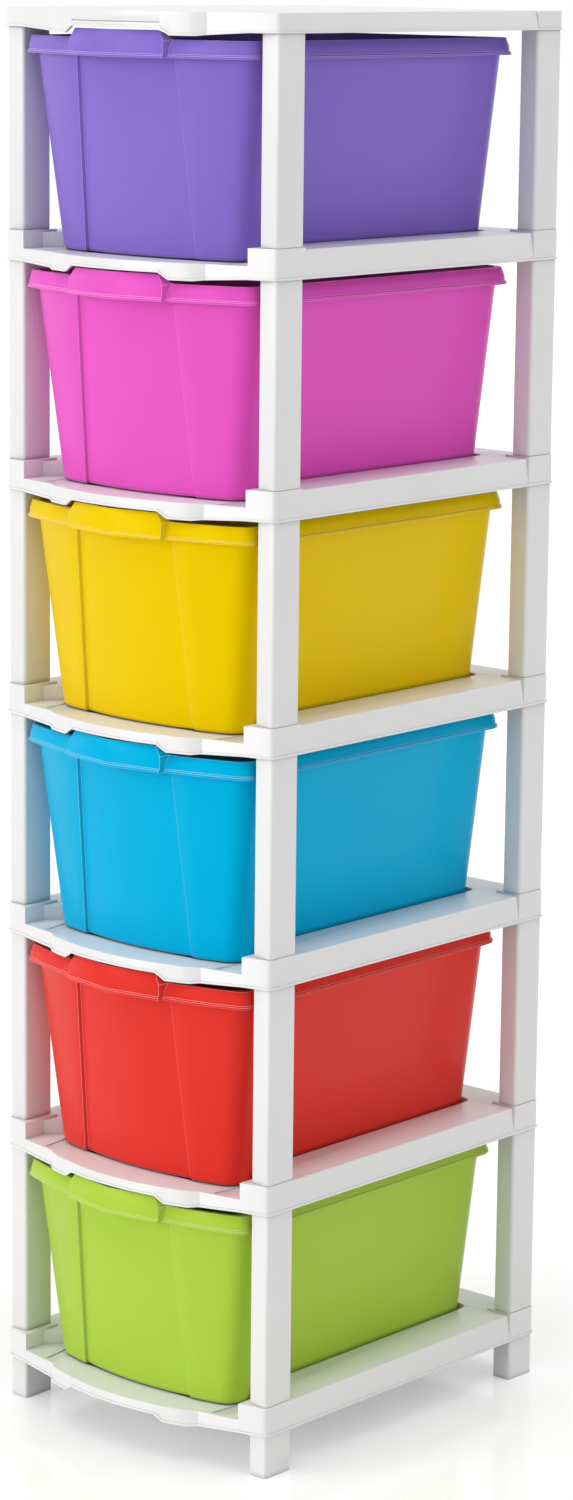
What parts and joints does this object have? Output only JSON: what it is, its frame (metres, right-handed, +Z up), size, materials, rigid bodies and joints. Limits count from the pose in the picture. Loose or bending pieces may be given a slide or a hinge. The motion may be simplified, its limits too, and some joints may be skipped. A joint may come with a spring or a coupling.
{
  "type": "plastic drawer tower",
  "caption": "Tall storage tower of moulded plastic shelves on tube posts, with bow-fronted tapered drawers that slide out to the front.",
  "frame": {"origin": "on the floor under the feet, at the centre of the tower's bounding box in X and Y", "axes": "+X to the tower's right as seen from the back, so the drawers open towards -Y; +Z up"},
  "size_m": [0.3284, 0.4292, 1.299],
  "materials": {
    "frame_plastic": "glossy white moulded polypropylene",
    "purple_plastic": "glossy purple moulded polypropylene",
    "pink_plastic": "glossy pink moulded polypropylene",
    "yellow_plastic": "glossy yellow moulded polypropylene",
    "blue_plastic": "glossy blue moulded polypropylene",
    "red_plastic": "glossy red moulded polypropylene",
    "green_plastic": "glossy green moulded polypropylene"
  },
  "bodies": {
    "frame": {"top_cover": "frame_plastic", "shelf_1": "frame_plastic", "shelf_2": "frame_plastic", "shelf_3": "frame_plastic", "shelf_4": "frame_plastic", "shelf_5": "frame_plastic", "shelf_6": "frame_plastic", "post_1_front_left": "frame_plastic", "post_1_front_right": "frame_plastic", "post_1_rear_left": "frame_plastic", "post_1_rear_right": "frame_plastic", "post_2_front_left": "frame_plastic", "post_2_front_right": "frame_plastic", "post_2_rear_left": "frame_plastic", "post_2_rear_right": "frame_plastic", "post_3_front_left": "frame_plastic", "post_3_front_right": "frame_plastic", "post_3_rear_left": "frame_plastic", "post_3_rear_right": "frame_plastic", "post_4_front_left": "frame_plastic", "post_4_front_right": "frame_plastic", "post_4_rear_left": "frame_plastic", "post_4_rear_right": "frame_plastic", "post_5_front_left": "frame_plastic", "post_5_front_right": "frame_plastic", "post_5_rear_left": "frame_plastic", "post_5_rear_right": "frame_plastic", "post_6_front_left": "frame_plastic", "post_6_front_right": "frame_plastic", "post_6_rear_left": "frame_plastic", "post_6_rear_right": "frame_plastic", "foot_front_left": "frame_plastic", "foot_front_right": "frame_plastic", "foot_rear_left": "frame_plastic", "foot_rear_right": "frame_plastic"},
    "drawer_1": {"drawer_1": "purple_plastic"},
    "drawer_2": {"drawer_2": "pink_plastic"},
    "drawer_3": {"drawer_3": "yellow_plastic"},
    "drawer_4": {"drawer_4": "blue_plastic"},
    "drawer_5": {"drawer_5": "red_plastic"},
    "drawer_6": {"drawer_6": "green_plastic"}
  },
  "joints": [
    {"name": "drawer_1_slide", "type": "slide", "parent": "frame", "child": "drawer_1", "axis": [0, -1, 0], "range_m": [0, 0.26]},
    {"name": "drawer_2_slide", "type": "slide", "parent": "frame", "child": "drawer_2", "axis": [0, -1, 0], "range_m": [0, 0.26]},
    {"name": "drawer_3_slide", "type": "slide", "parent": "frame", "child": "drawer_3", "axis": [0, -1, 0], "range_m": [0, 0.26]},
    {"name": "drawer_4_slide", "type": "slide", "parent": "frame", "child": "drawer_4", "axis": [0, -1, 0], "range_m": [0, 0.26]},
    {"name": "drawer_5_slide", "type": "slide", "parent": "frame", "child": "drawer_5", "axis": [0, -1, 0], "range_m": [0, 0.26]},
    {"name": "drawer_6_slide", "type": "slide", "parent": "frame", "child": "drawer_6", "axis": [0, -1, 0], "range_m": [0, 0.26]}
  ]
}
